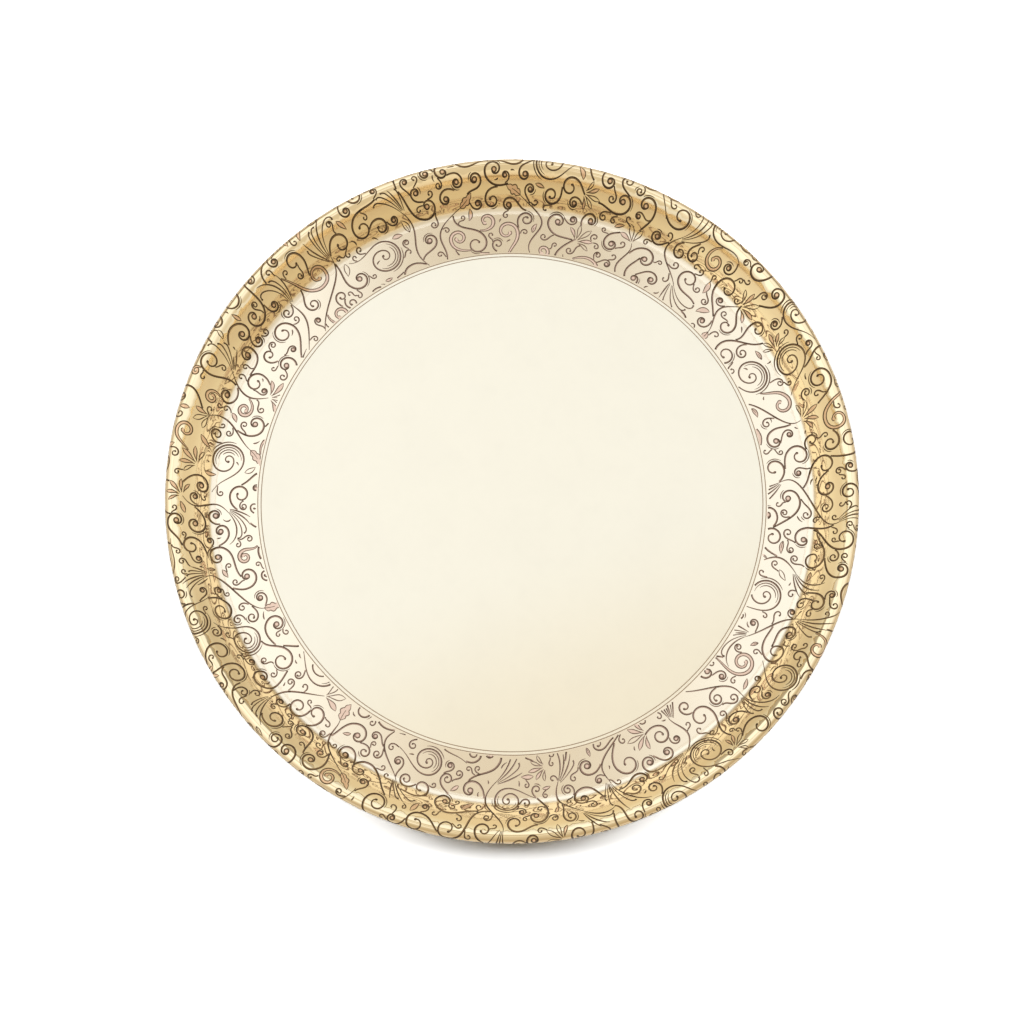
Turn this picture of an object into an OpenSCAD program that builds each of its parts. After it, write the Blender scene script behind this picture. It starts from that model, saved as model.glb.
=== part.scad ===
// Thali: a round brass serving plate, spun from one sheet.
// Its floor is flat, its wall slopes outwards and flares towards the top,
// and the edge of the sheet is rolled outwards and down over a wire ring.
// The origin is the middle of the flat underside, and +Z points up out of the dish.

/* [Plate] */
// Diameter over the outside of the rolled edge
rim_d = 305; // [200:1:420]
// Height from the table to the top of the rolled edge
plate_h = 23.4; // [16:0.1:45]
// Thickness of the brass sheet
sheet_t = 0.9; // [0.6:0.1:1.5]

/* [Wall] */
// Inside radius of the bend between the floor and the wall
bend_r = 3.5; // [2.5:0.5:10]
// Slope of the wall at its foot, in degrees from level
foot_slope = 70; // [56:1:75]
// Slope of the wall where it runs into the rolled edge, in degrees from level
lip_slope = 52; // [35:1:54]

/* [Rolled edge] */
// Diameter of the wire inside the rolled edge
wire_d = 4.06; // [3:0.02:6]
// Gap between the wire and the sheet that is rolled over it
wire_clear = 0.12; // [0.06:0.02:0.3]
// Gap between the sheet's tucked end and the back of the wall
tuck_gap = 0.4; // [0.2:0.1:0.8]
// Gap between the two ends of the wire ring
wire_end_gap = 1; // [0.5:0.1:3]

/* [Scribed lines] */
// Width of the engraved border on the floor, from the scribed lines to the bend
border_w = 18.7; // [8:0.2:30]
// Width of each scribed line round the plain centre
scribe_w = 0.4; // [0.2:0.05:0.8]
// Depth of each scribed line
scribe_depth = 0.15; // [0.05:0.05:0.3]
// Distance from one scribed line to the next
scribe_pitch = 1.5; // [1:0.1:4]
// Number of scribed lines
scribe_count = 2; // [1:1:3]

/* [Hidden] */
$fn = 360;

// Radius of the rolled edge, and the middle of the roll in the profile plane
roll_r = wire_d / 2 + wire_clear + sheet_t;
roll_mid = [rim_d / 2 - roll_r, plate_h - roll_r];

// Inner face of the wall at its top, where the roll begins
lip = roll_mid + roll_r * [-sin(lip_slope), cos(lip_slope)];

// The flare of the wall is one arc, from the foot's slope to the lip's slope
foot_z = sheet_t + bend_r * (1 - cos(foot_slope));
flare_r = (lip[1] - foot_z) / (cos(lip_slope) - cos(foot_slope));
flare_mid = lip - flare_r * [-sin(lip_slope), cos(lip_slope)];
foot_r = flare_mid[0] - flare_r * sin(foot_slope);

// The bend's middle stands over the edge of the flat floor
floor_r = foot_r - bend_r * sin(foot_slope);
bend_mid = [floor_r, sheet_t + bend_r];

// Direction of the tucked end of the sheet, seen from the middle of the roll,
// after the roll has run clockwise over its top and its outer side
tuck_turn = acos((roll_r - sheet_t - tuck_gap) / roll_r);
tuck_dir = 90 + lip_slope + tuck_turn - 360;

// The outermost scribed line lies at the inner edge of the engraved border
scribe_r = floor_r - border_w;
wire_gap_turn = 2 * asin(wire_end_gap / (2 * roll_mid[0]));

// Turn from one point to the next round a bend or the roll, and along the flare
round_turn = 9;
flare_turn = 2;

// Overrun of the cuts
over = sheet_t;

// Points of an arc after its first one, none further apart than step_turn
function arc(mid, r, from_dir, to_dir, step_turn) =
    let (steps = ceil(abs(to_dir - from_dir) / step_turn))
    [for (step = [1 : steps])
        let (dir = from_dir + step / steps * (to_dir - from_dir)) mid + r * [cos(dir), sin(dir)]];

// Outline of the sheet, from the middle of the underside round the roll and back.
// The roll's stops include its top and its outermost point, which set the overall size.
function sheet_outline() = concat(
    [[0, 0], [floor_r, 0]],
    arc(bend_mid, bend_r + sheet_t, -90, foot_slope - 90, round_turn),
    arc(flare_mid, flare_r - sheet_t, 90 + foot_slope, 90 + lip_slope, flare_turn),
    arc(roll_mid, roll_r - sheet_t, 90 + lip_slope, tuck_dir, round_turn),
    [roll_mid + roll_r * [cos(tuck_dir), sin(tuck_dir)]],
    arc(roll_mid, roll_r, tuck_dir, 0, round_turn),
    arc(roll_mid, roll_r, 0, 90, round_turn),
    arc(roll_mid, roll_r, 90, 90 + lip_slope, round_turn),
    arc(flare_mid, flare_r, 90 + lip_slope, 90 + foot_slope, flare_turn),
    arc(bend_mid, bend_r, foot_slope - 90, -90, round_turn),
    [[0, sheet_t]]
);

module dish_profile() {
    difference() {
        polygon(sheet_outline());
        for (line = [0 : scribe_count - 1])
            translate([scribe_r - line * scribe_pitch - scribe_w, sheet_t - scribe_depth])
                square([scribe_w, scribe_depth + over]);
    }
}

// One spun sheet: floor, wall and the edge rolled over the wire
module dish() {
    color("#e6ca96")
        rotate_extrude()
            dish_profile();
}

// Wire ring that stiffens the edge, bent round until its ends almost meet
module rim_wire() {
    color("#8d8f92")
        rotate([0, 0, wire_gap_turn / 2])
            rotate_extrude(angle = 360 - wire_gap_turn)
                translate(roll_mid)
                    circle(d = wire_d);
}

dish();
rim_wire();
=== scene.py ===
"""A brass thali: one spun sheet with an engraved border, wall and rolled edge."""

import random
from math import acos, atan2, ceil, cos, pi, radians, sin, sqrt

import bpy
import numpy as np
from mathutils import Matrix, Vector, kdtree
from mathutils.geometry import delaunay_2d_cdt


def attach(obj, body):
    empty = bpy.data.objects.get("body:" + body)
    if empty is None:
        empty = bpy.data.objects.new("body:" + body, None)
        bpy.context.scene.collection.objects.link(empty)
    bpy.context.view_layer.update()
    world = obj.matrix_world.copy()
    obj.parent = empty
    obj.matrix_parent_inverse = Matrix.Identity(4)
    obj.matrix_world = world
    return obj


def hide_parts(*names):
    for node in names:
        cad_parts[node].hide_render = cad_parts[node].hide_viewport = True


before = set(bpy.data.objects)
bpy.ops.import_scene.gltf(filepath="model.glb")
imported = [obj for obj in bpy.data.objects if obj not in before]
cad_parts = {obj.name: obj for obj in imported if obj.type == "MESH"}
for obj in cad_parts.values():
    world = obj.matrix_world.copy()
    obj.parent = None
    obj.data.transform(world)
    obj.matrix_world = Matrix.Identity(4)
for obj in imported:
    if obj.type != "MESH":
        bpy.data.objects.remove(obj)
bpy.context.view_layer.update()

TAU = 2 * pi
MM = 0.001

# Sizes of the sheet in millimetres, the same as the part's
RIM_D = 305.0
PLATE_H = 23.4
SHEET_T = 0.9
BEND_R = 3.5
FOOT_SLOPE = radians(70)
LIP_SLOPE = radians(52)
WIRE_D = 4.06
WIRE_CLEAR = 0.12
TUCK_GAP = 0.4
BORDER_W = 18.7
SCRIBE_W = 0.4
SCRIBE_DEPTH = 0.15
SCRIBE_PITCH = 1.5

ROLL_R = WIRE_D / 2 + WIRE_CLEAR + SHEET_T
ROLL_MID = np.array([RIM_D / 2 - ROLL_R, PLATE_H - ROLL_R])
LIP = ROLL_MID + ROLL_R * np.array([-sin(LIP_SLOPE), cos(LIP_SLOPE)])
FOOT_Z = SHEET_T + BEND_R * (1 - cos(FOOT_SLOPE))
FLARE_R = (LIP[1] - FOOT_Z) / (cos(LIP_SLOPE) - cos(FOOT_SLOPE))
FLARE_MID = LIP - FLARE_R * np.array([-sin(LIP_SLOPE), cos(LIP_SLOPE)])
FOOT_R = FLARE_MID[0] - FLARE_R * sin(FOOT_SLOPE)
FLOOR_R = FOOT_R - BEND_R * sin(FOOT_SLOPE)
BEND_MID = np.array([FLOOR_R, SHEET_T + BEND_R])
SCRIBE_R = FLOOR_R - BORDER_W
TUCK_DIR = pi / 2 + LIP_SLOPE + acos((ROLL_R - SHEET_T - TUCK_GAP) / ROLL_R) - TAU

# Columns round the plate, and where the engraved skin begins and ends
COLUMNS = 288
SKIN_IN = SCRIBE_R + 0.15
SKIN_END_DIR = radians(-75)

# The pattern's seed, and the radii that it keeps between
PATTERN_SEED = 7
PATTERN_IN, PATTERN_OUT = 110.0, 165.0

# Distance between the points of a walked line
STEP = 0.2

# Depth of the wide cuts, depth of the narrow ones as a share of their half width, and a
# distance that no cut's half width goes over
CUT_DEPTH = 0.2
CUT_SLOPE = 0.45
CUT_REACH = 0.8


# The engraver's pattern, in millimetres on the sheet laid flat

def toward(a):
    """Unit step in a direction."""
    return np.array([cos(a), sin(a)])


def headings(line):
    """Direction of a line at each of its points."""
    step = np.gradient(line, axis=0)
    return np.arctan2(step[:, 1], step[:, 0])


def aim(here, there):
    """Direction from one point to another."""
    return atan2(there[1] - here[1], there[0] - here[0])


def sideways(turn, by):
    """Steps to the left of each direction, all of one length or each of its own."""
    return np.stack([-np.sin(turn), np.cos(turn)], 1) * np.reshape(by, (-1, 1))


def around(centre, r, a):
    """Points at distances and directions from a centre."""
    return np.stack([centre[0] + r * np.cos(a), centre[1] + r * np.sin(a)], 1)


def from_axis(pts):
    """Distance of points from the plate's axis."""
    return np.hypot(pts[..., 0], pts[..., 1])


def run_along(line):
    """Length of a line up to each of its points."""
    seg = np.hypot(*np.diff(line, axis=0).T)
    return np.concatenate([[0], np.cumsum(seg)])


def even(line, half, pitch):
    """The same cut with evenly spaced points."""
    run = run_along(line)
    n = max(2, int(ceil(run[-1] / pitch)) + 1)
    at = np.linspace(0, run[-1], n)
    out = np.stack([np.interp(at, run, line[:, 0]), np.interp(at, run, line[:, 1])], 1)
    return out, np.interp(at, run, half)


def follow(start, heading, bends, pitch=STEP):
    """Walks from a point, turning by so much per millimetre at each step."""
    pts = [tuple(start)]
    x, y = start
    for bend in bends:
        heading += bend * pitch
        x += cos(heading) * pitch
        y += sin(heading) * pitch
        pts.append((x, y))
    return np.array(pts)


def swelled(line, ball, neck, belly, tip):
    """Half width of a cut, from the ball at its eye through its belly to its tip."""
    run = run_along(line)
    t = run / run[-1]
    w = neck + (belly - neck) * np.sin(np.clip(t * 1.5, 0, 1) * pi / 2)
    w = np.where(t > 0.55, belly + (tip - belly) * (np.clip(t - 0.55, 0, 1) / 0.45) ** 1.3, w)
    round_end = np.sqrt(np.clip(ball * ball - (run - ball) ** 2, 0, None))
    return np.maximum(w, np.where(run < 2 * ball, round_end, 0))


class Engraver:
    """Fills the border with curls, stems, leaves and spurs that keep clear of each other."""

    CELL = 0.2
    GAP = 0.62
    STEMS = 26
    FANS = 14
    GREAT_CURLS = 22
    COMMA_TRIES = 1300

    def __init__(self, seed, inner, outer):
        self.rng = random.Random(seed)
        self.inner, self.outer, self.reach = inner, outer, outer + 2
        n = int(2 * self.reach / self.CELL) + 2
        self.near, self.inked = np.zeros((n, n), bool), np.zeros((n, n), bool)
        self.flow = np.zeros((n, n), np.float32)
        self.cuts, self.tints, self.discs = [], [], {}

    # The sheet, and what is taken on it

    def cell(self, pts):
        return ((np.asarray(pts) + self.reach) / self.CELL).astype(int)

    def disc(self, radius):
        key = int(round(radius / self.CELL * 4))
        if key not in self.discs:
            k = int(key / 4) + 1
            y, x = np.mgrid[-k : k + 1, -k : k + 1]
            keep = x * x + y * y <= (key / 4) ** 2
            self.discs[key] = np.stack([x[keep], y[keep]], 1)
        return self.discs[key]

    def stamp(self, grid, pts, radius, value):
        at = self.cell(pts)
        steps = np.round(radius / self.CELL * 4)
        for step in np.unique(steps):
            pick = steps == step
            spots = self.disc(step / 4 * self.CELL)
            cells = np.clip((at[pick][:, None] + spots[None]).reshape(-1, 2), 0, len(grid) - 1)
            held = np.repeat(value[pick], len(spots)) if np.ndim(value) else value
            grid[cells[:, 1], cells[:, 0]] = held

    def look(self, grid, pts):
        at = np.clip(self.cell(pts), 0, len(grid) - 1)
        return grid[at[..., 1], at[..., 0]]

    def inside(self, pts):
        r = from_axis(pts)
        return (r > self.inner) & (r < self.outer)

    def cut(self, line, half, gap=GAP, shaded_side=1):
        """Adds a graver's cut, by its middle line, half its width along it, and its darker side, the wall that
        takes the painted shade while the other wall takes a painted highlight.
        """
        self.cuts.append((line, half, shaded_side))
        line, half = even(line, half, self.CELL)
        self.stamp(self.near, line, half + gap, True)
        self.stamp(self.inked, line, half + 0.12, True)
        self.stamp(self.flow, line, half + 0.2, headings(line).astype(np.float32))

    def blocked(self, line, half):
        """For each point of a cut, whether the cut would come too close to another there."""
        out = sideways(headings(line), half)
        return self.look(self.near, np.stack([line, line + out, line - out])).any(0)

    def clear(self, line, half, skip=0.0):
        pts, wide = even(line, half, self.CELL)
        test = np.arange(len(pts)) * self.CELL >= skip
        if not test.any() or not self.inside(pts[test]).any():
            return False
        return not self.blocked(pts, wide)[test].any()

    def spot(self):
        r = sqrt(self.rng.uniform(self.inner ** 2, self.outer ** 2))
        return r * toward(self.rng.uniform(0, TAU))

    def empty_disc(self, centre, radius):
        if self.look(self.near, centre):
            return False
        rings = []
        for share in (0.35, 0.7, 1.0):
            n = max(1, int(TAU * radius * share / 0.6))
            rings.append(around(centre, radius * share, np.arange(n) / n * TAU))
        return not self.look(self.near, np.concatenate(rings)).any()

    # Curls

    def curl(self, centre, radius, hand, turn_to, turns, eye, ring):
        """Points of a curl from its eye outwards. A ring eye is a whole circle first."""
        n = max(14, int(turns * TAU * radius * 0.6 / STEP))
        t = np.linspace(1, 0, n)
        r = radius + (eye - radius) * t ** 0.8
        a = turn_to + hand * turns * TAU * t
        if ring:
            lead = np.linspace(1.0, 0.02, 16)
            r = np.concatenate([np.full(len(lead), eye), r])
            a = np.concatenate([a[0] + hand * TAU * lead, a])
        return around(centre, r, a)

    def tail(self, body, radius, hand, n, flip, haste, half):
        """A tail that leaves a curl and unwinds, and at each point whether something is in its way."""
        bends = [-hand / radius * (1 + (flip - 1) * min(1, (i / n) * haste)) for i in range(n)]
        tail = follow(body[-1], aim(body[-2], body[-1]), bends)
        return tail, self.blocked(tail, half) | ~self.inside(tail)

    def grow_curl(self, centre, radius, tries=26, reach=1.0):
        """A curl in an empty circle, with a tail that runs to a neighbour if it can."""
        rng = self.rng
        belly, ball = min(0.5, 0.29 + 0.055 * radius), min(0.62, 0.36 + 0.08 * radius)
        ring = radius > 1.7 and rng.random() < 0.45
        best = None
        for _ in range(tries):
            hand = rng.choice((-1, 1))
            eye = max(0.5, 0.24 * radius)
            turns = rng.uniform(0.95, 1.4)
            if ring:
                eye = min(1.0, 0.5 + 0.13 * radius)
                turns = rng.uniform(0.8, 1.15)
            elif radius < 1.5:
                turns = rng.uniform(0.65, 0.9)
            body = self.curl(centre, radius, hand, rng.uniform(0, TAU), turns, eye, ring)
            n = int((radius * rng.uniform(1.2, 3.6) * reach + 1.5) / STEP)
            tail, hits = self.tail(body, radius, hand, n, rng.uniform(-1.1, 0.25), 1.5, belly * 0.8)
            end = first = int(np.argmax(hits)) if hits.any() else len(tail)
            off_edge = hits.any() and not self.inside(tail[first])
            joined, angle = False, 0.0
            if hits.any() and not off_edge:
                inked = self.look(self.inked, tail[first : first + 13])
                end = first - 1
                joined = inked.any()
            if joined:
                k = int(np.argmax(inked))
                end = first + k + 1
                host = float(self.look(self.flow, tail[first + k]))
                mine = headings(tail)[min(end - 1, len(tail) - 1)]
                angle = abs((mine - host + pi / 2) % pi - pi / 2)
            if end < 3 or (end < radius * 3.5 and not joined):
                continue
            score = rng.random() * 0.6 + (2.2 - 1.5 * angle if joined else 0)
            score += (0.8 if off_edge else 0) + 0.25 * min(end * STEP / radius, 2.5)
            if best is None or score > best[0]:
                best = (score, body, tail[:end], joined or off_edge, eye, hand)
        if best is None:
            return None
        _score, body, tail, held, eye, hand = best
        line = np.concatenate([body, tail[1:]])
        tip = belly * (0.8 if held else 0.3)
        if radius > 1.7 and not ring and rng.random() < 0.28:
            wide = swelled(line, 0.8, 0.4, 0.7, 0.2)
            if not self.blocked(line, wide)[:-8].any():
                self.ribbon(line, wide, hand)
                return line, len(body)
        echo = self.echo(body, centre) if radius > 2.0 and rng.random() < 0.6 else None
        self.cut(line, swelled(line, 0.2 if ring else ball, belly * 0.62, belly, tip), shaded_side=hand)
        if ring:
            self.tints.append(around(centre, eye, np.linspace(0, TAU, 17)[:-1]))
        if echo is not None:
            half = 0.07 + 0.17 * np.sin(np.linspace(0, pi, len(echo))) ** 0.7
            self.cut(echo, half, gap=0.35, shaded_side=-hand)
        return line, len(body)

    def ribbon(self, line, wide, hand):
        """A curl as a tinted band between two thin cuts."""
        out = sideways(headings(line), wide)
        left, right = line + out, line - out
        thin = 0.12 + 0.1 * np.sin(pi * np.linspace(0.05, 0.95, len(line)))
        self.cut(left, thin + (0.07 if hand > 0 else 0), shaded_side=hand)
        self.cut(right, thin + (0.07 if hand < 0 else 0), shaded_side=hand)
        self.stamp(self.near, line, wide + self.GAP, True)
        self.tints.append(np.concatenate([left, right[::-1]]))

    def echo(self, body, centre):
        """A short arc just outside a curl, where there is room for one."""
        first = int(len(body) * self.rng.uniform(0.4, 0.66))
        part = body[first : first + int(len(body) * self.rng.uniform(0.16, 0.3))]
        out = part - centre
        arc = part + out / np.hypot(*out.T)[:, None] * 1.05
        if self.blocked(arc, 0.15).any() or not self.inside(arc).all():
            return None
        return arc

    def great_curl(self, centre, radius):
        """A wide curl that winds in to a ball, with finer arcs nested inside its ring."""
        rng = self.rng
        hand = rng.choice((-1, 1))
        turns, eye, pitch = 1.95, 0.6, 1.12
        inner = radius * rng.uniform(0.38, 0.44)

        def reach(turn):
            ring = radius * (1 - 0.05 * turn)
            inward = inner + (eye - inner) * np.clip((turn - 1) / (turns - 1), 0, 1) ** 0.8
            mix = np.clip((turn - 0.62) / 0.42, 0, 1)
            mix = mix * mix * (3 - 2 * mix)
            return ring * (1 - mix) + inward * mix

        def place(turn, start, r):
            return around(centre, r, start + hand * TAU * turn)

        t = np.linspace(turns, 0, int(turns * TAU * radius * 0.6 / STEP))
        best = None
        for _ in range(30):
            start = rng.uniform(0, TAU)
            body = place(t, start, reach(t))
            n = int(rng.uniform(8, 18) / STEP)
            tail, hits = self.tail(body, radius, hand, n, rng.uniform(-0.9, 0.1), 1.3, 0.3)
            end = int(np.argmax(hits)) if hits.any() else len(tail)
            score = end * STEP + rng.random()
            if end >= 15 and (best is None or score > best[0]):
                best = (score, start, body, tail[:end], hits.any())
        if best is None:
            return False
        _score, start, body, tail, held = best
        line = np.concatenate([body, tail[1:]])
        self.cut(line, swelled(line, 0.64, 0.28, 0.47, 0.34 if held else 0.14), shaded_side=hand)
        u = np.linspace(0, 1, 30)
        for j in range(1, int((radius - inner - 0.9) / pitch) + 1):
            lo = 0.02 + 0.05 * j + rng.uniform(-0.01, 0.01)
            hi = 0.7 - 0.08 * j + rng.uniform(-0.02, 0.02)
            turn = np.linspace(lo, hi, 30)
            arc = place(turn, start, reach(turn) - pitch * j)
            self.cut(arc, 0.08 + 0.19 * np.sin(u * pi) ** 0.6, gap=0.3, shaded_side=-hand)
        lo = rng.uniform(0.05, 0.3)
        turn = np.linspace(lo, lo + rng.uniform(0.2, 0.4), 30)
        arc = place(turn, start, reach(turn) + 1.3)
        half = 0.08 + 0.22 * np.sin(u * pi) ** 0.7
        if not self.blocked(arc, 0)[4:-4].any():
            self.cut(arc, half, gap=0.4, shaded_side=-hand)
        return True

    # Stems, sweeps, leaves and spurs

    def stem(self, angle, lean):
        """A long S across the border."""
        rng = self.rng
        r = np.linspace(self.inner - 1.5, self.outer + 1, 260)
        t = (r - r[0]) / (r[-1] - r[0])
        sway = rng.uniform(0.028, 0.045) * rng.choice((-1, 1))
        wave = np.sin(TAU * t * rng.uniform(1.5, 2.1) + rng.uniform(0, TAU))
        a = angle + lean * (t - 0.5) + sway * wave
        pts = around((0, 0), r, a)
        lo = rng.uniform(0, 0.35)
        pts = pts[(t >= lo) & (t <= lo + rng.uniform(0.3, 0.5))]
        half = 0.14 + 0.28 * np.sin(pi * np.linspace(0, 1, len(pts)))
        if not self.clear(pts, half):
            return None
        self.cut(pts, half)
        return pts

    def sweep(self, base, head, count, length, bend):
        """Lines that leave one point and bend the same way, each inside the last."""
        rng = self.rng
        hand = 1 if bend > 0 else -1
        done = 0
        for i in range(count):
            size = length * (1 - 0.09 * i) * rng.uniform(0.92, 1.08)
            n = int(size / STEP)
            hook = 0.7 if rng.random() < 0.5 else 0.0
            ease, turned = bend * (1 - 0.16 * i), hand * hook
            bends = [ease * (0.45 + 1.2 * k / n) + turned * max(0, k / n - 0.72) / 0.28 for k in range(n)]
            way = head - hand * i * rng.uniform(0.13, 0.18)
            side = -hand * 0.45 * i
            start = (base[0] - side * sin(way), base[1] + side * cos(way))
            pts = follow(start, way, bends)
            hits = self.blocked(pts, 0.2) | ~self.inside(pts)
            own = int(rng.uniform(0.36, 0.48) * size / STEP) if done else 6
            hits[: min(own, len(hits))] = False
            end = int(np.argmax(hits)) if hits.any() else len(pts)
            if end * STEP < 5:
                continue
            p = np.linspace(0.02, 0.98, end)
            half = 0.09 + 0.27 * np.sin(pi * p) ** 0.9
            if hook and end > 0.9 * len(pts):
                half = 0.09 + 0.25 * p ** 0.6 + 0.12 * (p > 0.94)
            self.cut(pts[:end], half, gap=0.36, shaded_side=hand)
            done += 1

    def leaf_shape(self, base, head, length, bend, wide, lobes=0, fat=0.85):
        """Middle line and both edges of a leaf, plain or lobed, widest nearer its tip where fat is more."""
        n = max(12, int(length / (STEP if lobes else 0.35)))
        mid = follow(base, head, [bend] * n, pitch=length / n)
        t = np.linspace(0, 1, len(mid))
        env = np.sin(pi * t ** fat)
        if lobes:
            env = env * (0.7 + 0.45 * np.abs(np.sin(pi * lobes * t)))
        out = sideways(headings(mid), wide * env)
        return mid, mid + out, mid - out, wide * env

    def fits(self, shape, skip):
        thin = np.full(len(shape[0]), 0.18)
        return all(self.clear(line, thin, skip) for line in shape[:3])

    def cut_leaf(self, shape, tint, vein):
        """A leaf of two thin cuts, with or without a vein and a tint."""
        mid, left, right, reach = shape
        t = np.linspace(0, 1, len(mid))
        half = 0.12 + 0.13 * np.sin(pi * t)
        self.cut(left, half)
        self.cut(right, half, shaded_side=-1)
        self.stamp(self.near, mid, reach + 0.3, True)
        if vein:
            k = int(len(mid) * 0.62)
            self.cut(mid[:k], (0.15 * (1 - t) ** 0.8 + 0.05)[:k])
        if tint:
            self.tints.append(np.concatenate([left, right[::-1]]))

    def leaf(self, base, head, length, bend, wide, tint, vein, skip=1.2, lobes=0):
        shape = self.leaf_shape(base, head, length, bend, wide, lobes)
        if not self.fits(shape, skip):
            return False
        self.cut_leaf(shape, tint, vein)
        return True

    def petals(self, base, head, count, length):
        """A fan of drop-shaped leaves from one point, the outer ones shorter and curled back."""
        rng = self.rng
        shapes = []
        few = count < 4
        spread = rng.uniform(0.56, 0.66) if few else rng.uniform(0.44, 0.5)
        for i in range(count):
            off = i - (count - 1) / 2
            way = head + off * spread
            start = base + (0.9 if few else 1.5) * toward(way)
            size = length * (1 - 0.13 * abs(off))
            wide = size * (0.15 if few else 0.115)
            shapes.append(self.leaf_shape(start, way, size, off * 0.06, wide, fat=1.6))
        shapes = [shape for shape in shapes if self.fits(shape, 0.9)]
        if len(shapes) < 2:
            return False
        for shape in shapes:
            self.cut_leaf(shape, rng.random() < 0.55, False)
        return True

    def thorn(self, line, index, side, size):
        """A short spur that leaves a cut."""
        index = min(max(index, 1), len(line) - 2)
        head = aim(line[index - 1], line[index + 1]) + side * self.rng.uniform(0.5, 0.9)
        pts = follow(line[index], head, [side * self.rng.uniform(0.1, 0.5)] * int(size / STEP))
        half = 0.26 * (1 - np.linspace(0, 1, len(pts))) ** 0.7 + 0.07
        if self.clear(pts, half * 0.6, skip=1.1):
            self.cut(pts, half)

    def dress(self, line, body, radius):
        """Spurs and leaves on a curl and its tail."""
        rng = self.rng
        tail = len(line) - body
        if radius > 1.6 and tail > 12 and rng.random() < 0.8:
            k = body + int(tail * rng.uniform(0.25, 0.7))
            self.thorn(line, k, rng.choice((-1, 1)), rng.uniform(1.4, 3.0))
        if radius > 2.0 and rng.random() < 0.35:
            k = int(body * rng.uniform(0.72, 0.95))
            side = rng.choice((-1, 1))
            for shift, size in ((-4, 1.0), (0, 1.5), (4, 1.1)):
                self.thorn(line, k + shift, side, size)
        if radius > 1.7 and tail > 10 and rng.random() < 0.7:
            k = body + int(tail * rng.uniform(0.2, 0.8))
            side = rng.choice((-1, 1))
            head = aim(line[k - 1], line[k]) + side * rng.uniform(0.4, 0.8)
            if rng.random() < 0.35 and self.petals(line[k], head, rng.choice((2, 3)), rng.uniform(4.0, 6.0)):
                return
            lobes = rng.choice((2, 3)) if rng.random() < 0.4 else 0
            for share in (1.0, 0.75):
                size = rng.uniform(4.5, 8.0) * share
                wide = size * (0.2 if lobes else 0.16)
                if self.leaf(line[k], head, size, side * rng.uniform(0.02, 0.14), wide,
                             rng.random() < 0.8, rng.random() < 0.3, lobes=lobes):
                    break

    def dress_stem(self, pts):
        """Sweeps, petals and leaves at both ends of a stem and on its middle."""
        rng = self.rng
        ahead, back = aim(pts[-6], pts[-1]), aim(pts[5], pts[0])
        hand = rng.choice((-1, 1))
        for end, way in ((pts[-1], ahead), (pts[0], back)):
            kind = rng.random()
            if kind < 0.6:
                self.sweep(end, way, rng.choice((4, 5, 6)), rng.uniform(13, 21), hand * rng.uniform(0.05, 0.11))
            elif kind < 0.8:
                self.petals(end, way, rng.choice((3, 5)), rng.uniform(7, 9.5))
            else:
                self.leaf(end, way, rng.uniform(7, 11), hand * 0.05, rng.uniform(1.5, 2.0), True, True, lobes=3)
        if rng.random() < 0.5:
            self.sweep(pts[-1], ahead, rng.choice((2, 3)), rng.uniform(9, 13), -hand * rng.uniform(0.08, 0.15))
        k = int(len(pts) * rng.uniform(0.3, 0.7))
        along = aim(pts[k], pts[k + 1])
        for side in (-1, 1):
            if rng.random() < 0.6:
                way, count, length = along + side * 0.35, rng.choice((2, 3)), rng.uniform(9, 14)
                self.sweep(pts[k], way, count, length, side * rng.uniform(0.05, 0.12))
            else:
                way, length, wide = along + side * 0.5, rng.uniform(7, 10), rng.uniform(1.3, 1.9)
                self.leaf(pts[k], way, length, -side * 0.06, wide, True, True, lobes=rng.choice((0, 3)))

    def design(self):
        """Stems first, then fans and great curls, then ever smaller curls with leaves, then commas."""
        rng = self.rng
        for i in range(self.STEMS):
            angle = (i + rng.uniform(-0.3, 0.3)) / self.STEMS * TAU
            pts = self.stem(angle, rng.uniform(-0.42, 0.42))
            if pts is not None:
                self.dress_stem(pts)
        placed = 0
        for _ in range(3000):
            base, head, size = self.spot(), rng.uniform(0, TAU), rng.uniform(6.5, 8.5)
            middle = base + 0.55 * size * toward(head)
            if self.inside(base) and self.empty_disc(middle, 0.66 * size):
                self.petals(base, head, 5, size)
                placed += 1
                if placed == self.FANS:
                    break
        placed = 0
        for _ in range(6000):
            radius = rng.uniform(5.2, 7.2)
            at = self.spot()
            if self.empty_disc(at, radius + 0.3) and self.great_curl(at, radius):
                placed += 1
                if placed == self.GREAT_CURLS:
                    break
        radius = 5.6
        while radius > 1.05:
            for _ in range(int(2800 / radius ** 0.5)):
                at = self.spot()
                size = radius * rng.uniform(0.92, 1.0)
                if self.empty_disc(at, size + 0.25):
                    grown = self.grow_curl(at, size, reach=1.2 if size > 2 else 0.9)
                    if grown:
                        self.dress(grown[0], grown[1], size)
            radius *= 0.87
            if 1.2 < radius < 3.0:
                for _ in range(130):
                    size = rng.uniform(3.6, 7.0)
                    self.leaf(self.spot(), rng.uniform(0, TAU), size, rng.uniform(-0.16, 0.16),
                              size * rng.uniform(0.14, 0.19), rng.random() < 0.8, rng.random() < 0.3, skip=0)
        for _ in range(self.COMMA_TRIES):
            n = int(rng.uniform(1.8, 4.2) / STEP)
            pts = follow(self.spot(), rng.uniform(0, TAU), [rng.choice((-1, 1)) * rng.uniform(0.15, 0.55)] * n)
            half = 0.1 + 0.26 * np.sin(pi * np.linspace(0, 1, len(pts)) ** 0.6)
            if self.inside(pts).all() and self.clear(pts, half):
                self.cut(pts, half, gap=0.5)


# The sheet's upper face, by its distance from the middle on the flat pattern

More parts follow.
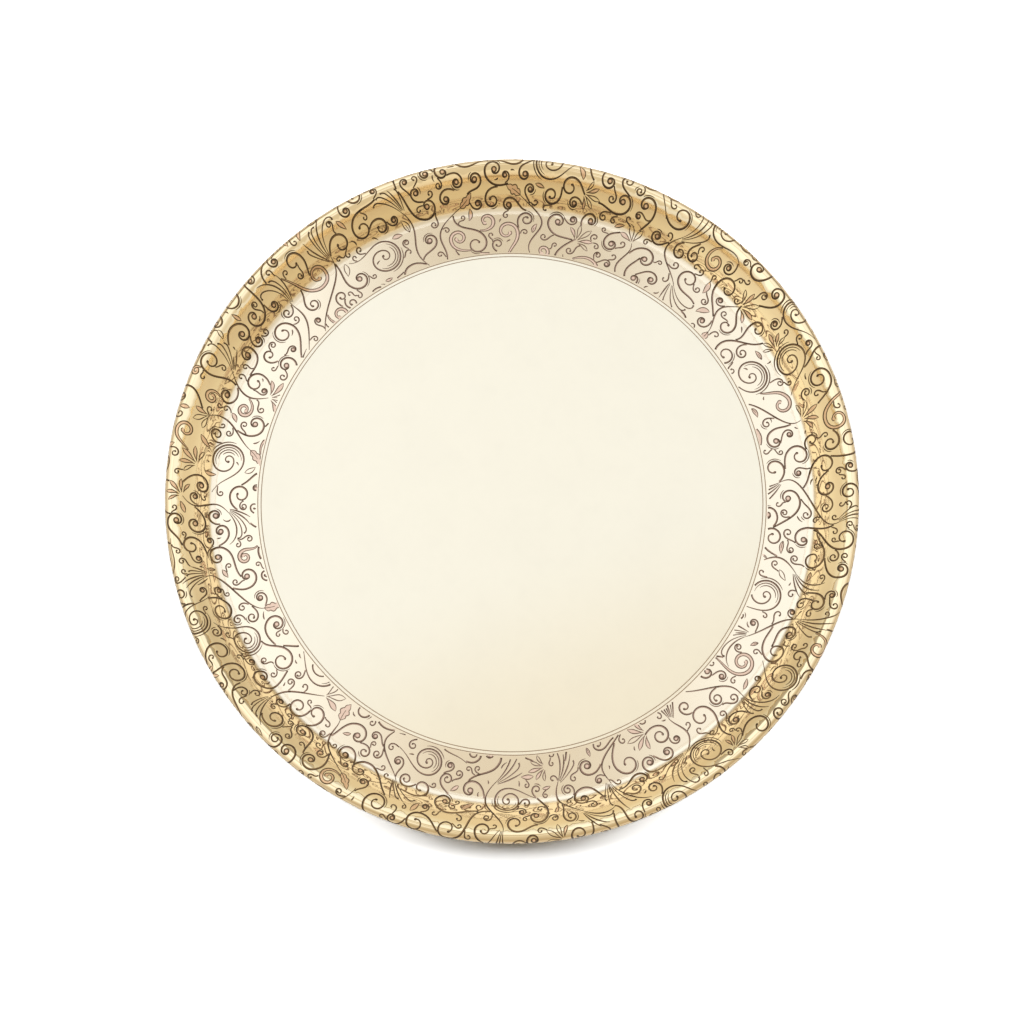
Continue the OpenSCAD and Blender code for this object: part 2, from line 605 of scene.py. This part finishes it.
def skin_path():
    """Arrays of pattern radius, radius, height and the normal, from the floor over the roll."""
    rows = []

    def run(pts, normals, lay):
        rows.append(np.column_stack([pts, normals, lay]))

    r = np.linspace(100, FLOOR_R, 400)
    run(np.stack([r, r * 0 + SHEET_T], 1), np.tile([0.0, 1.0], (400, 1)), np.ones(400))
    a = np.linspace(0, FOOT_SLOPE, 300)[1:]
    out = np.stack([np.sin(a), -np.cos(a)], 1)
    run(BEND_MID + BEND_R * out, -out, np.full(len(a), 0.3))
    a = np.linspace(FOOT_SLOPE, LIP_SLOPE, 500)[1:]
    up = np.stack([-np.sin(a), np.cos(a)], 1)
    run(FLARE_MID + FLARE_R * up, up, np.full(len(a), 0.3))
    a = np.linspace(pi / 2 + LIP_SLOPE, SKIN_END_DIR, 900)[1:]
    out = around((0, 0), 1, a)
    lay = np.clip(0.3 + 0.7 * (pi / 2 + LIP_SLOPE - a) / LIP_SLOPE, 0.3, 1)
    run(ROLL_MID + ROLL_R * out, out, lay)
    rows = np.concatenate(rows)
    dr = np.diff(rows[:, 0])
    ds = np.hypot(dr, np.diff(rows[:, 1]))
    w = rows[1:, 4]
    rho = rows[0, 0] + np.concatenate([[0], np.cumsum(w * ds + (1 - w) * dr)])
    return rho, rows[:, :4]


RHO, PATH = skin_path()
SKIN_OUT = RHO[-1]


def on_skin(flat, sink):
    """Places of pattern points on the spun sheet, sunk below its face, and the face's normals."""
    rho = from_axis(flat)
    c, s = flat[:, 0] / rho, flat[:, 1] / rho
    r, z, nr, nz = (np.interp(rho, RHO, PATH[:, k]) for k in range(4))
    length = np.hypot(nr, nz)
    nr, nz = nr / length, nz / length
    r, z = r - nr * sink, z - nz * sink
    return np.stack([r * c, r * s, z], 1), np.stack([nr * c, nr * s, nz], 1)


def stations(line, half):
    """Points of a cut for the mesh: close together on tight bends and where its width changes."""
    pitch = STEP / 2
    line, half = even(line, half, pitch)
    turn = np.unwrap(headings(line))
    bend = np.abs(np.gradient(turn)) / pitch
    bend = np.convolve(np.pad(bend, 3, mode="edge"), np.ones(7) / 7, "valid")
    widen = np.abs(np.gradient(half)) / pitch
    density = np.clip(np.sqrt(bend / (8 * 0.018)), 0.65, 3.0)
    density = np.maximum(density, np.clip(widen * 2.4, 0, 5))
    count = np.concatenate([[0], np.cumsum((density[1:] + density[:-1]) / 2 * pitch)])
    n = max(3, int(ceil(count[-1])) + 1)
    at = np.interp(np.linspace(0, count[-1], n), count, np.arange(len(line)))
    k = np.clip(at.astype(int), 0, len(line) - 2)
    f = at - k
    pts = line[k] + (line[k + 1] - line[k]) * f[:, None]
    wide = half[k] + (half[k + 1] - half[k]) * f
    turn = turn[k] + (turn[k + 1] - turn[k]) * f
    return pts, np.maximum(wide, 0.06), turn


def in_polygon(pts, poly):
    """Which points are inside a closed line."""
    x, y = pts[:, 0], pts[:, 1]
    odd = np.zeros(len(pts), bool)
    for (x0, y0), (x1, y1) in zip(poly, np.roll(poly, -1, axis=0)):
        if y0 != y1:
            odd ^= ((y0 > y) != (y1 > y)) & (x < (x1 - x0) * (y - y0) / (y1 - y0) + x0)
    return odd


# Slots of the plate. The slot for the wall follows that for the floor. Each cut has lit and shaded copies: a
# painted highlight on one wall of the cut, and painted shade over the tarnish on the other
BRASS, CUT_FLOOR, CUT_WALL, CUT_FLOOR_LIT, CUT_WALL_LIT, TINT_FLOOR, TINT_WALL, SCRIBED, UNDERSIDE = range(9)


def engraved_skin():
    """Mesh arrays of the engraved band: places, normals, triangles and the slot of each."""
    artist = Engraver(PATTERN_SEED, PATTERN_IN, PATTERN_OUT)
    artist.design()
    print(f"pattern: {len(artist.cuts)} cuts, {len(artist.tints)} tints")

    verts, edges, sides, samples, drawn = [], [], [], [], 0

    def add(points, side=0):
        nonlocal drawn
        first = drawn
        verts.append(points)
        sides.append(np.full(len(points), side))
        drawn += len(points)
        return first

    # cuts run on the skin alone, in one or more stretches
    low, high = SKIN_IN + 0.12, SKIN_OUT - 0.12
    for line, half, shaded_side in artist.cuts:
        pts, half, turn = stations(line, half)
        out = sideways(turn, half)
        rows = np.stack([pts, pts + out, pts - out])
        rho = from_axis(rows)
        keep = np.concatenate([[False], ((rho > low) & (rho < high)).all(0), [False]])
        begins, ends = np.flatnonzero(keep[1:] & ~keep[:-1]), np.flatnonzero(keep[:-1] & ~keep[1:])
        for begin, end in zip(begins, ends):
            n = end - begin
            if n < 3:
                continue
            left = add(rows[1, begin:end], shaded_side)
            right = add(rows[2, begin:end], -shaded_side)
            mid = add(rows[0, begin + 1 : end - 1])
            for row, links in ((left, n - 1), (right, n - 1), (mid, n - 3)):
                edges.extend((row + i, row + i + 1) for i in range(links))
            edges.extend(((left, right), (left + n - 1, right + n - 1)))
            line, wide = even(pts[begin:end], half[begin:end], 0.15)
            way = np.unwrap(headings(line))
            along = 0.08 + 0.55 * wide * np.abs(np.gradient(way))
            back, ahead = -along, along
            back[0] = ahead[-1] = 0
            samples.append(np.column_stack([line, wide, np.cos(way), np.sin(way), back, ahead]))
    on_cuts = drawn

    samples = np.concatenate(samples)
    tree = kdtree.KDTree(len(samples))
    for i, (x, y) in enumerate(samples[:, :2].tolist()):
        tree.insert((x, y, 0), i)
    tree.balance()
    rows = samples.tolist()

    def sink_at(x, y):
        """Depth of the cuts at a point of the pattern, none outside them."""
        deep = 0.0
        for _co, i, _d in tree.find_range((x, y, 0), CUT_REACH):
            sx, sy, h, tx, ty, back, ahead = rows[i]
            if back <= (x - sx) * tx + (y - sy) * ty <= ahead:
                across = abs((x - sx) * ty - (y - sy) * tx)
                if across < h:
                    deep = max(deep, min(CUT_DEPTH, CUT_SLOPE * h) * (1 - across / h))
        return deep

    # rings of points that hold the sheet's curve where no cut passes
    rng = random.Random(3)
    spaces = []
    rho = SKIN_IN + 1.8
    while rho < SKIN_OUT - 0.5:
        r = float(np.interp(rho, RHO, PATH[:, 0]))
        if rho < FLOOR_R - 0.6:
            pitch, along = min(5.0, max(0.6, FLOOR_R - 0.5 - rho)), 6.0
        elif rho < FLOOR_R + 4:
            pitch, along = 0.75, 2.4
        elif r < LIP[0] - 0.5:
            pitch, along = 2.4, 3.2
        else:
            pitch, along = 0.9, 2.1
        n = int(TAU * rho / along)
        a = rng.uniform(0, TAU) + np.arange(n) / n * TAU
        spaces.append(around((0, 0), rho, a))
        rho += pitch
    spaces = np.concatenate(spaces)
    free = []
    for i, (x, y) in enumerate(spaces.tolist()):
        _co, k, d = tree.find((x, y, 0))
        if d > rows[k][2] + 0.3:
            free.append(i)
    add(spaces[free])

    column = np.arange(COLUMNS) / COLUMNS * TAU
    for radius in (SKIN_IN, SKIN_OUT):
        first = add(around((0, 0), radius, column))
        edges.extend((first + i, first + (i + 1) % COLUMNS) for i in range(COLUMNS))

    # points within 0.004 mm of each other become one
    points = [Vector(p) for p in np.concatenate(verts).tolist()]
    flat, _edges, tris, from_vert, *_ = delaunay_2d_cdt(points, edges, [], 0, 0.004, True)
    flat, tris = np.array([(p.x, p.y) for p in flat]), np.array(tris)
    # the plain middle is spun, so its triangles are left out here
    centre = flat[tris].mean(1)
    first = on_cuts + len(free)
    ring = np.array([any(first <= i < first + COLUMNS for i in f) for f in from_vert])
    inside = (from_axis(centre) > SKIN_IN * 0.99) & ~ring[tris].all(1)
    tris, centre = tris[inside], centre[inside]
    print(f"skin: {len(flat)} points, {len(tris)} triangles")

    # a triangle is cut where its middle is, and a point is sunk where all its triangles are cut
    cut_vert = np.array([not f or any(i < on_cuts for i in f) for f in from_vert])
    grooved = np.zeros(len(tris), bool)
    for k in np.flatnonzero(cut_vert[tris].all(1)):
        grooved[k] = sink_at(*centre[k]) > 0
    on_face = np.zeros(len(flat), bool)
    on_face[tris[~grooved]] = True
    sink = np.zeros(len(flat))
    for i in np.flatnonzero(cut_vert & ~on_face):
        sink[i] = sink_at(*flat[i])
    sides = np.concatenate(sides)
    side = np.array([sides[f[0]] if f else 0 for f in from_vert])
    slots = np.full(len(tris), BRASS)
    land = np.flatnonzero(~grooved)
    for poly in artist.tints:
        x0, y0 = poly.min(0)
        x1, y1 = poly.max(0)
        c = centre[land]
        near = land[(c[:, 0] > x0) & (c[:, 0] < x1) & (c[:, 1] > y0) & (c[:, 1] < y1)]
        slots[near[in_polygon(centre[near], poly)]] = TINT_FLOOR
    # one wall of each cut takes the lit slot, a painted highlight, and the other the dark slot, painted shade
    # over the tarnish
    slots[grooved] = np.where(side[tris[grooved]].sum(1) < 0, CUT_FLOOR_LIT, CUT_FLOOR)
    # cuts and tints on the wall take copies darker and warmer than the floor's; the difference is partly
    # painted shade for the wall's darker reflections
    on_wall = from_axis(centre) > FLOOR_R + 1.2
    slots[on_wall & (slots != BRASS)] += 1
    place, normal = on_skin(flat, sink)
    used = np.zeros(len(flat), bool)
    used[tris] = True
    index = np.cumsum(used) - 1
    return place[used], normal[used], index[tris], slots


def only(obj):
    """Makes one object the chosen one."""
    bpy.ops.object.select_all(action="DESELECT")
    obj.select_set(True)
    bpy.context.view_layer.objects.active = obj


def spun(name, profile):
    """One point drawn out along a profile of radius and height, and spun round the axis."""
    bpy.ops.object.select_all(action="DESELECT")
    r, z = profile[0]
    bpy.ops.mesh.primitive_plane_add(size=MM, location=(r * MM, 0, z * MM))
    piece = bpy.context.object
    piece.name = name
    bpy.ops.object.transform_apply()
    bpy.ops.object.mode_set(mode="EDIT")
    bpy.ops.mesh.select_all(action="SELECT")
    bpy.ops.mesh.merge(type="CENTER")
    for (r0, z0), (r1, z1) in zip(profile, profile[1:]):
        move = ((r1 - r0) * MM, 0, (z1 - z0) * MM)
        bpy.ops.mesh.extrude_region_move(TRANSFORM_OT_translate={"value": move})
    bpy.ops.mesh.select_all(action="SELECT")
    bpy.ops.mesh.spin(steps=COLUMNS, angle=TAU, center=(0, 0, 0), axis=(0, 0, 1))
    bpy.ops.mesh.select_all(action="SELECT")
    bpy.ops.mesh.remove_doubles(threshold=0.002 * MM)
    bpy.ops.object.mode_set(mode="OBJECT")
    return piece


def arc(mid, radius, start, end, step):
    """Points of an arc after its first one, at most step degrees apart."""
    n = max(1, ceil(abs(end - start) / radians(step) - 1e-6))
    a = start + (end - start) * np.arange(1, n + 1) / n
    return [tuple(mid + radius * toward(t)) for t in a]


def plain_middle():
    """The plain floor with its scribed lines, from the middle to the engraved band."""
    profile = [(0, SHEET_T), (2.0, SHEET_T), (36.0, SHEET_T), (76.0, SHEET_T)]
    for line in (1, 0):
        out = SCRIBE_R - line * SCRIBE_PITCH
        profile += [(out - SCRIBE_W, SHEET_T), (out - SCRIBE_W / 2, SHEET_T - SCRIBE_DEPTH), (out, SHEET_T)]
    return spun("plain_middle", profile + [(SKIN_IN, SHEET_T)])


def back_of_sheet():
    """From the end of the engraved band round under the roll, down the wall's back and under the floor."""
    quarter = pi / 2
    profile = [tuple(ROLL_MID + ROLL_R * toward(SKIN_END_DIR))]
    profile += arc(ROLL_MID, ROLL_R, SKIN_END_DIR, TUCK_DIR, 12)
    profile += [tuple(ROLL_MID + (ROLL_R - SHEET_T) * toward(TUCK_DIR))]
    profile += arc(ROLL_MID, ROLL_R - SHEET_T, TUCK_DIR, quarter + LIP_SLOPE, 24)
    profile += arc(FLARE_MID, FLARE_R - SHEET_T, quarter + LIP_SLOPE, quarter + FOOT_SLOPE, 3)
    profile += arc(BEND_MID, BEND_R + SHEET_T, FOOT_SLOPE - quarter, -quarter, 12)
    profile += [(90.0, 0), (45.0, 0), (2.0, 0), (0, 0)]
    return spun("back_of_sheet", profile)


def read(rows, name, width, kind):
    """One value or vector of every row of a mesh."""
    values = np.zeros(len(rows) * width, kind)
    rows.foreach_get(name, values)
    return values if width == 1 else values.reshape(-1, width)


def make_plate(finishes):
    """The engraved band, the plain middle and the back of the sheet, joined into one closed piece."""
    place, normal, tris, skin_slots = engraved_skin()
    mesh = bpy.data.meshes.new("plate")
    mesh.from_pydata((place * MM).tolist(), [], tris.tolist(), shade_flat=False)
    mesh.polygons.foreach_set("material_index", skin_slots.astype(np.int32))
    true_face = mesh.attributes.new("true_face", "FLOAT_VECTOR", "POINT")
    true_face.data.foreach_set("vector", normal.astype(np.float32).ravel())
    plate = bpy.data.objects.new("engraved_plate", mesh)
    bpy.context.scene.collection.objects.link(plate)
    middle, back = plain_middle(), back_of_sheet()
    for piece in (plate, middle, back):
        for material in finishes:
            piece.data.materials.append(material)
    for piece, slot in ((middle, BRASS), (back, UNDERSIDE)):
        heights = np.array([p.center.z for p in piece.data.polygons])
        slots = np.full(len(heights), slot, np.int32)
        if piece is middle:
            slots[(heights < (SHEET_T - 0.02) * MM)] = SCRIBED
        piece.data.polygons.foreach_set("material_index", slots)
    only(plate)
    middle.select_set(True)
    back.select_set(True)
    bpy.ops.object.join()
    bpy.ops.object.mode_set(mode="EDIT")
    bpy.ops.mesh.select_mode(type="VERT")
    bpy.ops.mesh.select_all(action="DESELECT")
    bpy.ops.mesh.select_non_manifold()
    bpy.ops.mesh.remove_doubles(threshold=0.05 * MM)
    bpy.ops.mesh.select_all(action="SELECT")
    bpy.ops.mesh.normals_make_consistent(inside=False)
    bpy.ops.object.mode_set(mode="OBJECT")
    only(plate)
    bpy.ops.object.shade_smooth_by_angle(angle=radians(18))
    mesh = plate.data
    loops = read(mesh.loops, "vertex_index", 1, np.int32)
    corner = read(mesh.corner_normals, "vector", 3, np.float32)
    faces = read(mesh.attributes["true_face"].data, "vector", 3, np.float32)[loops]
    total = read(mesh.polygons, "loop_total", 1, np.int32)
    slots = np.repeat(read(mesh.polygons, "material_index", 1, np.int32), total)
    smooth = (np.abs(faces).sum(1) > 0.5) & np.isin(slots, (BRASS, TINT_FLOOR, TINT_WALL))
    corner[smooth] = faces[smooth]
    mesh.normals_split_custom_set(corner.tolist())
    mesh.attributes.remove(mesh.attributes["true_face"])
    print(f"plate: {len(mesh.vertices)} points, {int((total - 2).sum())} triangles")
    return plate


# Finishes

def both_ways(operation):
    """An operator of Num, and the same with the Num on its right."""
    return (lambda num, other: num.maths(operation, num, other),
            lambda num, other: num.maths(operation, other, num))


class Num:
    """A number that changes over a surface, so that shader maths reads as plain expressions."""

    __add__, __radd__ = both_ways("ADD")
    __sub__, __rsub__ = both_ways("SUBTRACT")
    __mul__, __rmul__ = both_ways("MULTIPLY")

    def __init__(self, finish, socket):
        self.finish, self.socket = finish, socket

    def maths(self, operation, *values):
        node = self.finish.node("ShaderNodeMath", {"operation": operation}, *values)
        return Num(self.finish, node.outputs[0])

    def root(self):
        return self.maths("SQRT", self)

    def size(self):
        return self.maths("ABSOLUTE", self)

    def step(self, low, high, to_low=0.0, to_high=1.0):
        """Rises smoothly from to_low at low to to_high at high."""
        settings = {"interpolation_type": "SMOOTHSTEP"}
        node = self.finish.node("ShaderNodeMapRange", settings, self, low, high, to_low, to_high)
        return Num(self.finish, node.outputs[0])


class Finish:
    """A node tree under construction, of a material or of the world."""

    def __init__(self, owner):
        self.owner = owner
        owner.use_nodes = True
        self.tree = owner.node_tree
        self.tree.nodes.clear()

    def feed(self, socket, value):
        """Links a socket to a number or an output, or sets it to a value or a colour."""
        if isinstance(value, Num):
            value = value.socket
        if isinstance(value, bpy.types.NodeSocket):
            self.tree.links.new(value, socket)
        else:
            socket.default_value = (*value, 1) if isinstance(value, tuple) else value

    def node(self, kind, settings=None, *values, **named):
        """Adds a node: its settings first, then its sockets, by order or by name."""
        node = self.tree.nodes.new(kind)
        for key, value in (settings or {}).items():
            setattr(node, key, value)
        for index, value in enumerate(values):
            self.feed(node.inputs[index], value)
        for name, value in named.items():
            self.feed(node.inputs[name.replace("_", " ")], value)
        return node

    def coords(self, name="Object"):
        return self.node("ShaderNodeTexCoord").outputs[name]

    def split(self, vector):
        """The three parts of a vector."""
        return [Num(self, part) for part in self.node("ShaderNodeSeparateXYZ", None, vector).outputs]

    def rays(self, *kinds):
        """Facts about the ray that sees the surface."""
        path = self.node("ShaderNodeLightPath").outputs
        return [Num(self, path[kind]) for kind in kinds]

    def noise(self, place, scale, detail=3.0, rough=0.5):
        node = self.node("ShaderNodeTexNoise", Vector=place, Scale=scale, Detail=detail, Roughness=rough)
        return Num(self, node.outputs[0])

    def mix(self, share, a, b):
        """Colour a where the share is 0, colour b where it is 1."""
        node = self.node("ShaderNodeMix", {"data_type": "RGBA"}, share)
        for index, value in ((6, a), (7, b)):
            self.feed(node.inputs[index], value)
        return node.outputs[2]

    def times(self, colour, number):
        """A colour made lighter or darker by a number."""
        return self.node("ShaderNodeVectorMath", {"operation": "SCALE"}, colour, Scale=number).outputs[0]

    def rings(self, place, scale, distortion, detail):
        """Marks of turning, round the axis."""
        node = self.node("ShaderNodeTexWave", {"wave_type": "RINGS", "rings_direction": "Z"},
                         Vector=place, Scale=scale, Distortion=distortion, Detail=detail)
        return Num(self, node.outputs[1])

    def bump(self, height, strength, distance):
        return self.node("ShaderNodeBump", Strength=strength, Distance=distance, Height=height).outputs[0]

    def metal(self, colour, metallic, roughness, normal):
        shader = self.node("ShaderNodeBsdfPrincipled", Base_Color=colour, Metallic=metallic,
                           Roughness=roughness, Normal=normal)
        self.node("ShaderNodeOutputMaterial", None, shader.outputs[0])
        return self.owner


def new_finish(name):
    """A finish for a new material, and the object's coordinates in it."""
    f = Finish(bpy.data.materials.new(name))
    return f, f.coords()


def sheet_brass():
    """Cream satin middle, brighter polished border and deeper gold wall, with painted light and shade on top:
    the near right of the middle warmer and darker, a darker band high on the wall, a painted highlight over the
    roll's crest and a darker outer side of the roll.
    """
    f, place = new_finish("sheet_brass")
    x, y = (part * 1000.0 for part in f.split(place)[:2])
    r = (x * x + y * y).root()
    middle = r.step(SCRIBE_R + 0.6, SCRIBE_R - SCRIBE_PITCH - 0.2)
    wall = r.step(FOOT_R - 1.4, FOOT_R + 0.2)
    cloud = f.noise(place, 22.0, 3.0)
    rub = f.noise(place, 90.0, 4.0, 0.6)
    # the front right of the middle is a little warmer and darker: painted shade for the darker reflections on
    # the near side of the middle
    plain = f.mix((0.3 * x - y).step(25.0, 115.0), (0.918, 0.904, 0.795), (0.888, 0.832, 0.668))
    colour = f.mix(middle, (0.94, 0.875, 0.725), plain)
    colour = f.mix(wall, colour, (0.935, 0.755, 0.465))
    # a darker band high on the wall: painted shade for the darker reflections there
    colour = f.mix(r.step(140.0, 143.5), colour, (0.85, 0.67, 0.41))
    # a lighter band from the top of the wall over the roll's crest: a painted highlight
    colour = f.mix(r.step(LIP[0] - 2.4, ROLL_MID[0] - 2.0), colour, (0.97, 0.845, 0.575))
    # the outer side of the roll darker: painted shade
    colour = f.mix(r.step(ROLL_MID[0] + 0.1, ROLL_MID[0] + 2.2), colour, (0.67, 0.51, 0.295))
    colour = f.times(colour, 1.0 - 0.07 * (cloud - 0.5).size() - 0.05 * (rub - 0.5).size())
    bend = r.step(FOOT_R - 3.5, FOOT_R - 2.0) * r.step(FOOT_R + 0.6, FOOT_R - 0.6)
    gloss = 0.15 + 0.27 * middle - 0.07 * wall + 0.2 * bend + 0.04 * (rub - 0.5)
    marks = 0.35 * f.rings(place, 900.0, 0.6, 1.0) * middle + 0.65 * rub
    return f.metal(colour, 1.0, gloss, f.bump(marks, 0.05, 0.00003))


def darkened_cut(name, colour):
    """The sides of a graver's cut, where polish and tarnish stay. The lit copies are a painted highlight on one
    wall, the darker ones tarnish with painted shade.
    """
    f, place = new_finish(name)
    grain = f.noise(place, 1500.0, 3.0, 0.6)
    return f.metal(colour, 0.35, 0.5 + 0.2 * (grain - 0.5), f.bump(grain, 0.25, 0.00004))


def tinted_face(name, colour):
    """Faces of leaves and eyes, toned with a thin copper-coloured wash."""
    f, place = new_finish(name)
    grain = f.noise(place, 700.0, 3.0, 0.6)
    return f.metal(colour, 0.9, 0.3 + 0.12 * (grain - 0.5), f.bump(grain, 0.12, 0.00003))


def back_brass():
    """The underside, spun and left duller, with handling marks."""
    f, place = new_finish("back_brass")
    cloud = f.noise(place, 30.0, 4.0, 0.6)
    fine = f.noise(place, 240.0, 3.0)
    ring = f.rings(place, 420.0, 1.0, 2.0)
    colour = f.mix(cloud.step(0.3, 0.7), (0.80, 0.66, 0.40), (0.90, 0.77, 0.51))
    colour = f.times(colour, 0.92 + 0.1 * fine)
    gloss = 0.3 + 0.14 * (cloud - 0.5) + 0.05 * ring
    return f.metal(colour, 1.0, gloss, f.bump(0.6 * ring + 0.4 * fine, 0.1, 0.00005))


def drawn_iron():
    """The wire as it was drawn, streaked and a little rusty."""
    f, place = new_finish("drawn_iron")
    streak = f.noise(place, 600.0, 4.0, 0.65)
    spots = f.noise(place, 160.0, 3.0)
    colour = f.mix(spots.step(0.45, 0.68), (0.50, 0.50, 0.50), (0.36, 0.31, 0.27))
    return f.metal(colour, 0.95, 0.38 + 0.2 * (streak - 0.5) + 0.12 * spots, f.bump(streak, 0.2, 0.00005))


# The plate and its wire

# finishes in the order of the slots
plate = make_plate([
    sheet_brass(),
    darkened_cut("cut_in_floor", (0.12, 0.074, 0.05)),
    darkened_cut("cut_in_wall", (0.062, 0.034, 0.013)),
    # the lit copies paint a highlight on one wall of each cut
    darkened_cut("cut_in_floor_lit", (0.40, 0.28, 0.215)),
    darkened_cut("cut_in_wall_lit", (0.22, 0.13, 0.05)),
    tinted_face("tint_on_floor", (0.80, 0.62, 0.51)),
    tinted_face("tint_on_wall", (0.80, 0.55, 0.34)),
    darkened_cut("scribed_line", (0.42, 0.31, 0.21)),
    back_brass(),
])
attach(plate, "root")
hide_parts("dish")

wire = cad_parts["rim_wire"]
iron = drawn_iron()
for slot in wire.material_slots:
    slot.material = iron

# The table

# shades for light in general, for metal, for light reflected before and for the camera
LIT, IN_METAL, SEEN_AGAIN, SEEN = ((shade,) * 3 for shade in (0.80, 1.06, 0.35, 2.05))
RAYS = ("Is Camera Ray", "Is Glossy Ray", "Is Transmission Ray", "Ray Depth")

bpy.ops.object.select_all(action="DESELECT")
bpy.ops.mesh.primitive_plane_add(size=6.0, location=(0, 0, 0))
table = bpy.context.object
table.name = "table"
cloth = Finish(bpy.data.materials.new("table_white"))
camera_ray, glossy_ray, glass_ray, depth = cloth.rays(*RAYS)
white = cloth.mix(glossy_ray + glass_ray, LIT, IN_METAL)
white = cloth.mix(depth.step(1.2, 1.8), white, SEEN_AGAIN)
white = cloth.mix(camera_ray, white, SEEN)
matte = cloth.node("ShaderNodeBsdfDiffuse", None, white)
cloth.node("ShaderNodeOutputMaterial", None, matte.outputs[0])
table.data.materials.append(cloth.owner)

# The studio

# level of the room's own light on matte surfaces
ROOM_LIGHT = 0.04
world = bpy.data.worlds.new("studio")
bpy.context.scene.world = world
sky = Finish(world)
camera_ray, glossy_ray, glass_ray, _depth = sky.rays(*RAYS)
dx, dy, dz = sky.split(sky.coords("Generated"))
# metal sees white panels left and right, a warmer gap between them and a warmer room on the near side
panels = sky.mix(dx.step(-0.3, 0.2), (1.23, 1.22, 1.22), (1.13, 1.12, 1.12))
gap = sky.mix(dy.step(0.08, 0.3), (0.76, 0.65, 0.50), (0.67, 0.57, 0.43))
gap = sky.mix(dx.size().step(0.04, 0.115), gap, panels)
gap = sky.mix((dy - 0.16).size().step(0.08, 0.03, 0.0, 0.7), gap, panels)
gap = sky.mix(dy.step(0.42, 0.6), gap, panels)
near = dy + 0.38 * (dx.size() - dx)
above = sky.mix(near.step(0.03, -0.46), gap, (0.74, 0.645, 0.51))
room = sky.mix(near.step(-0.35, -0.95), (0.93, 0.93, 0.93), (0.93, 0.83, 0.67))
sides = sky.mix(dx.step(-0.5, 0.5), (0.78, 0.73, 0.64), (0.88, 0.83, 0.74))
room = sky.mix(dx.size().step(0.85, 0.98), room, sides)
aside = dx.size() - 0.7
corner = (aside * aside + (dy - 0.7) * (dy - 0.7)).step(0.17, 0.03)
studio = sky.mix(dz.step(0.15, 0.42), room, above)
studio = sky.mix(corner * dz.step(0.54, 0.3), studio, (0.46, 0.40, 0.32))
plain = 1.0 - (glossy_ray + camera_ray + glass_ray)
shade = sky.mix(glossy_ray, (1.0, 1.0, 1.0), studio)
glow = sky.node("ShaderNodeBackground", None, shade, 1.0 - (1.0 - ROOM_LIGHT) * plain)
sky.node("ShaderNodeOutputWorld", None, glow.outputs[0])

# The lamps

# four soft ones in an arch over the plate, towards the far side, so that only the near side has a shadow,
# each placed by where it throws the roll's shadow, in millimetres aside and towards the camera
LIGHT_LEVEL = 0.94
LAMP_SPREAD = radians(16)
SHADOWS = ((-16.3, 5.1), (16.3, 5.1), (-26.8, 16.0), (26.8, 16.0))
for i, (across, down) in enumerate(SHADOWS):
    fall = Vector((across, -down, -ROLL_MID[1])).normalized()
    bpy.ops.object.light_add(type="SUN", location=-1.5 * fall)
    lamp = bpy.context.object
    lamp.name = f"lamp_{i + 1}"
    lamp.data.energy = LIGHT_LEVEL / len(SHADOWS) * pi / -fall.z
    lamp.data.angle = LAMP_SPREAD
    lamp.rotation_euler = fall.to_track_quat("-Z", "Y").to_euler()
    lamp.visible_glossy = False

# The camera

# focal length and sensor in millimetres, place in metres and slope down in degrees
FOCAL, SENSOR = 66.985, 36
CAMERA_AT = (0, -0.14035, 0.84615)
CAMERA_SLOPE = 80.959
lens = bpy.data.cameras.new("camera")
lens.lens = FOCAL
lens.sensor_width = SENSOR
camera = bpy.data.objects.new("camera", lens)
bpy.context.scene.collection.objects.link(camera)
camera.location = CAMERA_AT
camera.rotation_euler = (radians(90 - CAMERA_SLOPE), 0, 0)
bpy.context.scene.camera = camera
bpy.context.scene.view_settings.view_transform = "Standard"
